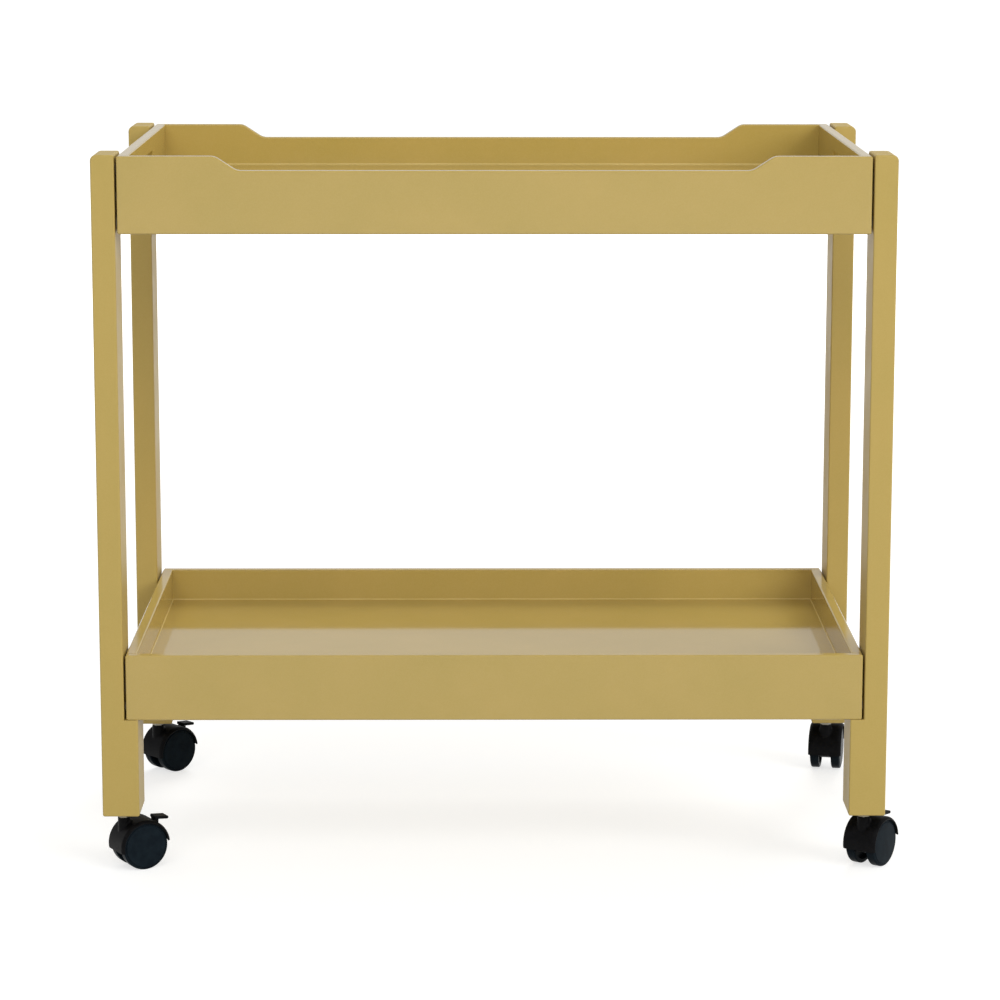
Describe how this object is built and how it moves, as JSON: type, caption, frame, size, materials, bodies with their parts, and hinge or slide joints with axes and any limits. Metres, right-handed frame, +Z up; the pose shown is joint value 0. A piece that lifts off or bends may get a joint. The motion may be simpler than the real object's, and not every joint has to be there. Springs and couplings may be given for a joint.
{
  "type": "bar cart",
  "caption": "Lacquered wooden bar cart: an upper serving tray with dipped rails and hand-holds over a lower tray, on stepped legs with braked, hooded swivel casters.",
  "frame": {"origin": "on the floor, under the middle of the four legs' footprint", "axes": "+X to the cart's right along its length, +Y to its rear, +Z up"},
  "size_m": [0.8344, 0.4763, 0.7493],
  "materials": {
    "lacquered_wood": "satin mustard lacquer",
    "beech_dowel": "bare beech",
    "zinc_steel": "zinc plated",
    "black_nylon": "moulded, fine satin",
    "wheel_plastic": "moulded, satin"
  },
  "bodies": {
    "cart": {"front_left_leg": "lacquered_wood", "front_right_leg": "lacquered_wood", "rear_left_leg": "lacquered_wood", "rear_right_leg": "lacquered_wood", "upper_front_rail": "lacquered_wood", "upper_rear_rail": "lacquered_wood", "upper_left_side": "lacquered_wood", "upper_right_side": "lacquered_wood", "upper_floor": "lacquered_wood", "upper_dowels": "beech_dowel", "upper_leg_bolts": "zinc_steel", "upper_leg_inserts": "zinc_steel", "lower_front_rail": "lacquered_wood", "lower_rear_rail": "lacquered_wood", "lower_left_side": "lacquered_wood", "lower_right_side": "lacquered_wood", "lower_floor": "lacquered_wood", "lower_dowels": "beech_dowel", "lower_leg_bolts": "zinc_steel", "lower_leg_inserts": "zinc_steel", "caster_sockets": "zinc_steel", "front_left_caster_stem": "zinc_steel", "front_right_caster_stem": "zinc_steel", "rear_left_caster_stem": "zinc_steel", "rear_right_caster_stem": "zinc_steel"},
    "front_left_caster": {"front_left_caster_housing": "black_nylon", "front_left_caster_axle": "zinc_steel", "front_left_caster_brake_pin": "zinc_steel"},
    "front_left_caster_left_wheel": {"front_left_caster_left_wheel": "wheel_plastic"},
    "front_left_caster_right_wheel": {"front_left_caster_right_wheel": "wheel_plastic"},
    "front_left_caster_brake": {"front_left_caster_brake_lever": "black_nylon"},
    "front_right_caster": {"front_right_caster_housing": "black_nylon", "front_right_caster_axle": "zinc_steel", "front_right_caster_brake_pin": "zinc_steel"},
    "front_right_caster_left_wheel": {"front_right_caster_left_wheel": "wheel_plastic"},
    "front_right_caster_right_wheel": {"front_right_caster_right_wheel": "wheel_plastic"},
    "front_right_caster_brake": {"front_right_caster_brake_lever": "black_nylon"},
    "rear_left_caster": {"rear_left_caster_housing": "black_nylon", "rear_left_caster_axle": "zinc_steel", "rear_left_caster_brake_pin": "zinc_steel"},
    "rear_left_caster_left_wheel": {"rear_left_caster_left_wheel": "wheel_plastic"},
    "rear_left_caster_right_wheel": {"rear_left_caster_right_wheel": "wheel_plastic"},
    "rear_left_caster_brake": {"rear_left_caster_brake_lever": "black_nylon"},
    "rear_right_caster": {"rear_right_caster_housing": "black_nylon", "rear_right_caster_axle": "zinc_steel", "rear_right_caster_brake_pin": "zinc_steel"},
    "rear_right_caster_left_wheel": {"rear_right_caster_left_wheel": "wheel_plastic"},
    "rear_right_caster_right_wheel": {"rear_right_caster_right_wheel": "wheel_plastic"},
    "rear_right_caster_brake": {"rear_right_caster_brake_lever": "black_nylon"}
  },
  "joints": [
    {"name": "front_left_swivel", "type": "hinge", "parent": "cart", "child": "front_left_caster", "pos_m": [-0.38735, -0.19935, 0.0555], "axis": [0, 0, 1], "continuous": true},
    {"name": "front_left_left_wheel_roll", "type": "hinge", "parent": "front_left_caster", "child": "front_left_caster_left_wheel", "pos_m": [-0.37263, -0.19085, 0.025], "axis": [-0.5, 0.866, 0], "continuous": true},
    {"name": "front_left_right_wheel_roll", "type": "hinge", "parent": "front_left_caster", "child": "front_left_caster_right_wheel", "pos_m": [-0.37263, -0.19085, 0.025], "axis": [-0.5, 0.866, 0], "continuous": true},
    {"name": "front_left_brake", "type": "hinge", "parent": "front_left_caster", "child": "front_left_caster_brake", "pos_m": [-0.35704, -0.18185, 0.042], "axis": [-0.5, 0.866, 0], "range_deg": [0, 18]},
    {"name": "front_right_swivel", "type": "hinge", "parent": "cart", "child": "front_right_caster", "pos_m": [0.38735, -0.19935, 0.0555], "axis": [0, 0, 1], "continuous": true},
    {"name": "front_right_left_wheel_roll", "type": "hinge", "parent": "front_right_caster", "child": "front_right_caster_left_wheel", "pos_m": [0.3971, -0.18542, 0.025], "axis": [-0.8192, 0.5736, 0], "continuous": true},
    {"name": "front_right_right_wheel_roll", "type": "hinge", "parent": "front_right_caster", "child": "front_right_caster_right_wheel", "pos_m": [0.3971, -0.18542, 0.025], "axis": [-0.8192, 0.5736, 0], "continuous": true},
    {"name": "front_right_brake", "type": "hinge", "parent": "front_right_caster", "child": "front_right_caster_brake", "pos_m": [0.40742, -0.17068, 0.042], "axis": [-0.8192, 0.5736, 0], "range_deg": [0, 18]},
    {"name": "rear_left_swivel", "type": "hinge", "parent": "cart", "child": "rear_left_caster", "pos_m": [-0.38735, 0.19935, 0.0555], "axis": [0, 0, 1], "continuous": true},
    {"name": "rear_left_left_wheel_roll", "type": "hinge", "parent": "rear_left_caster", "child": "rear_left_caster_left_wheel", "pos_m": [-0.37492, 0.21094, 0.025], "axis": [-0.682, 0.7314, 0], "continuous": true},
    {"name": "rear_left_right_wheel_roll", "type": "hinge", "parent": "rear_left_caster", "child": "rear_left_caster_right_wheel", "pos_m": [-0.37492, 0.21094, 0.025], "axis": [-0.682, 0.7314, 0], "continuous": true},
    {"name": "rear_left_brake", "type": "hinge", "parent": "rear_left_caster", "child": "rear_left_caster_brake", "pos_m": [-0.36175, 0.22322, 0.042], "axis": [-0.682, 0.7314, 0], "range_deg": [0, 18]},
    {"name": "rear_right_swivel", "type": "hinge", "parent": "cart", "child": "rear_right_caster", "pos_m": [0.38735, 0.19935, 0.0555], "axis": [0, 0, 1], "continuous": true},
    {"name": "rear_right_left_wheel_roll", "type": "hinge", "parent": "rear_right_caster", "child": "rear_right_caster_left_wheel", "pos_m": [0.39088, 0.21598, 0.025], "axis": [-0.9781, 0.2079, 0], "continuous": true},
    {"name": "rear_right_right_wheel_roll", "type": "hinge", "parent": "rear_right_caster", "child": "rear_right_caster_right_wheel", "pos_m": [0.39088, 0.21598, 0.025], "axis": [-0.9781, 0.2079, 0], "continuous": true},
    {"name": "rear_right_brake", "type": "hinge", "parent": "rear_right_caster", "child": "rear_right_caster_brake", "pos_m": [0.39463, 0.23358, 0.042], "axis": [-0.9781, 0.2079, 0], "range_deg": [0, 18]}
  ]
}
